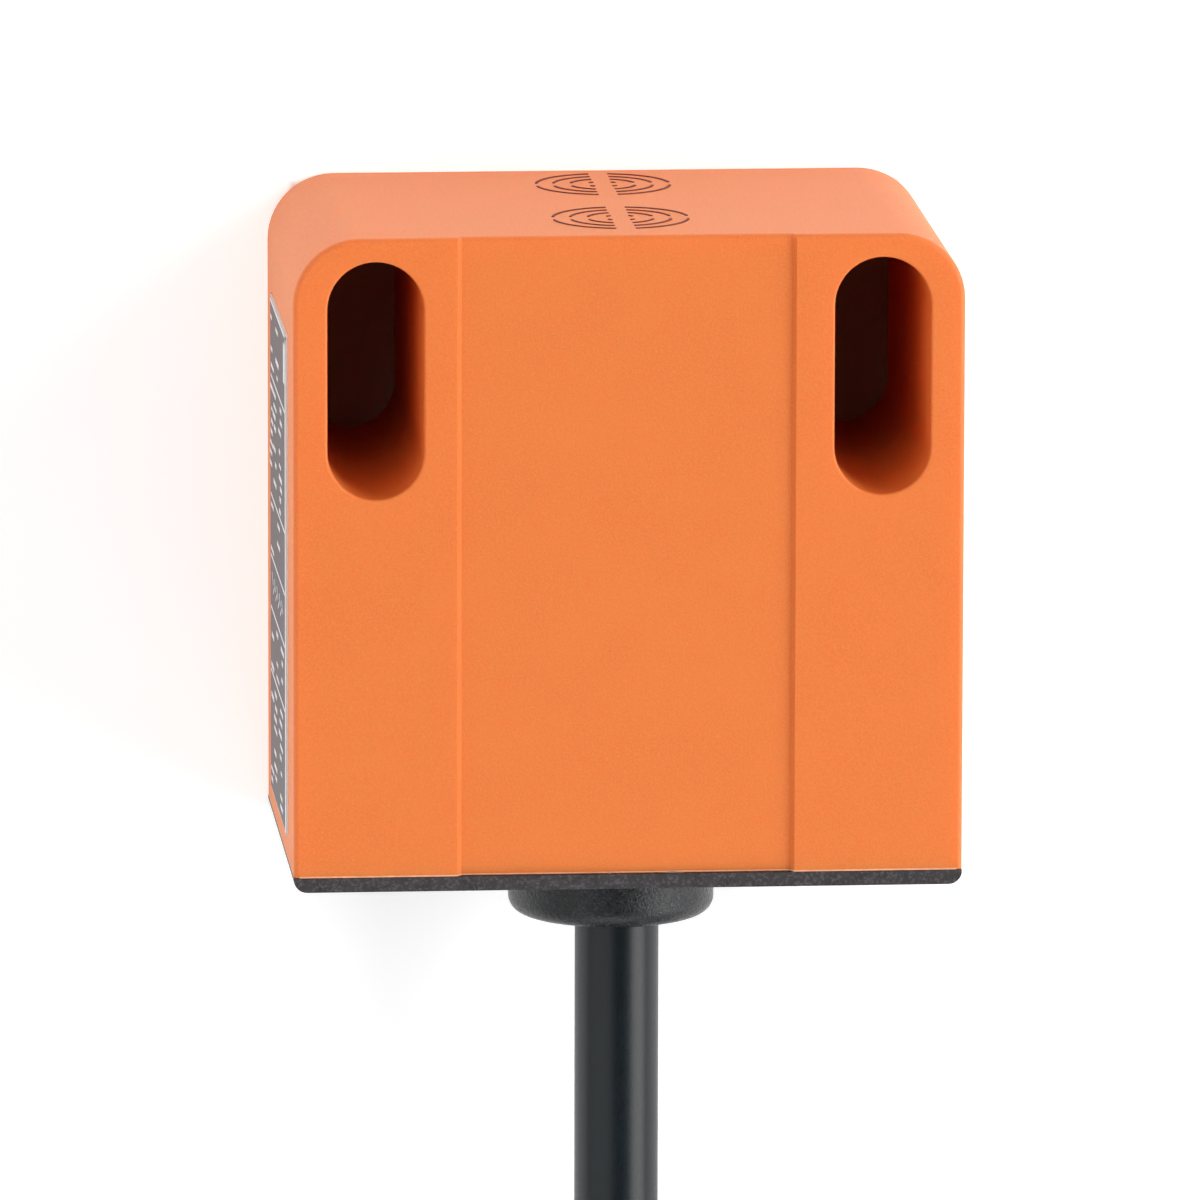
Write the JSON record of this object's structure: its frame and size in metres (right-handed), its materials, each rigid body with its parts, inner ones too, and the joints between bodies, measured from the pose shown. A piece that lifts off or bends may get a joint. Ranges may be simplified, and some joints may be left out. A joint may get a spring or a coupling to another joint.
{
  "type": "inductive proximity sensor",
  "caption": "Rectangular dual inductive proximity sensor with slotted mounting holes and a coiled moulded-in cable.",
  "frame": {"origin": "centre of the mounting face (the flat back that lies on the surface), midway along the orange housing", "axes": "+Z out of the front face with the slot mouths, +Y out of the sensing face away from the cable, +X to the right seen from the front with the sensing face up"},
  "size_m": [0.061, 0.1536, 0.0287],
  "materials": {
    "orange_housing": "fine moulded texture, satin",
    "black_cover": "fine moulded texture, satin",
    "black_collar": "coarse moulded texture, matte",
    "cable_jacket": "smooth polyurethane sheath, satin",
    "label_foil": "printed foil, light border",
    "casting_resin": "cast, glossy",
    "carrier_plastic": "natural moulded plastic",
    "ferrite": "sintered, matte",
    "copper_wire": "enamelled copper",
    "circuit_board": "solder resist, glossy",
    "chip_black": "moulded package",
    "ceramic_tan": "sintered ceramic",
    "clear_plastic": "clear moulded plastic",
    "steel_ring": "plain steel",
    "tinned_copper": "tinned",
    "wire_brown": "wire insulation",
    "wire_white": "wire insulation",
    "wire_blue": "wire insulation",
    "wire_black": "wire insulation",
    "tie_white": "flat plastic tie"
  },
  "bodies": {
    "root": {"housing": "orange_housing", "end_cover": "black_cover", "cable_collar": "black_collar", "side_label": "label_foil", "coil_carrier": "carrier_plastic", "bobbin_rear": "carrier_plastic", "bobbin_front": "carrier_plastic", "pot_core_rear": "ferrite", "pot_core_front": "ferrite", "winding_rear": "copper_wire", "winding_front": "copper_wire", "coil_pin_1": "tinned_copper", "coil_pin_2": "tinned_copper", "coil_pin_3": "tinned_copper", "coil_pin_4": "tinned_copper", "circuit_board": "circuit_board", "controller_chip": "chip_black", "output_chip_1": "chip_black", "output_chip_2": "chip_black", "protection_diode": "chip_black", "capacitor_1": "ceramic_tan", "capacitor_2": "ceramic_tan", "indicator_led_1": "clear_plastic", "indicator_led_2": "clear_plastic", "light_guide_1": "clear_plastic", "light_guide_2": "clear_plastic", "potting_resin": "casting_resin", "crimp_ring": "steel_ring", "jacket_inner_end": "cable_jacket", "cable": "cable_jacket", "cable_coil": "cable_jacket", "coil_tie_1": "tie_white", "coil_tie_2": "tie_white", "inner_lead_brown": "wire_brown", "wire_brown": "wire_brown", "wire_tip_brown": "tinned_copper", "inner_lead_white": "wire_white", "wire_white": "wire_white", "wire_tip_white": "tinned_copper", "inner_lead_blue": "wire_blue", "wire_blue": "wire_blue", "wire_tip_blue": "tinned_copper", "inner_lead_black": "wire_black", "wire_black": "wire_black", "wire_tip_black": "tinned_copper"}
  },
  "joints": []
}
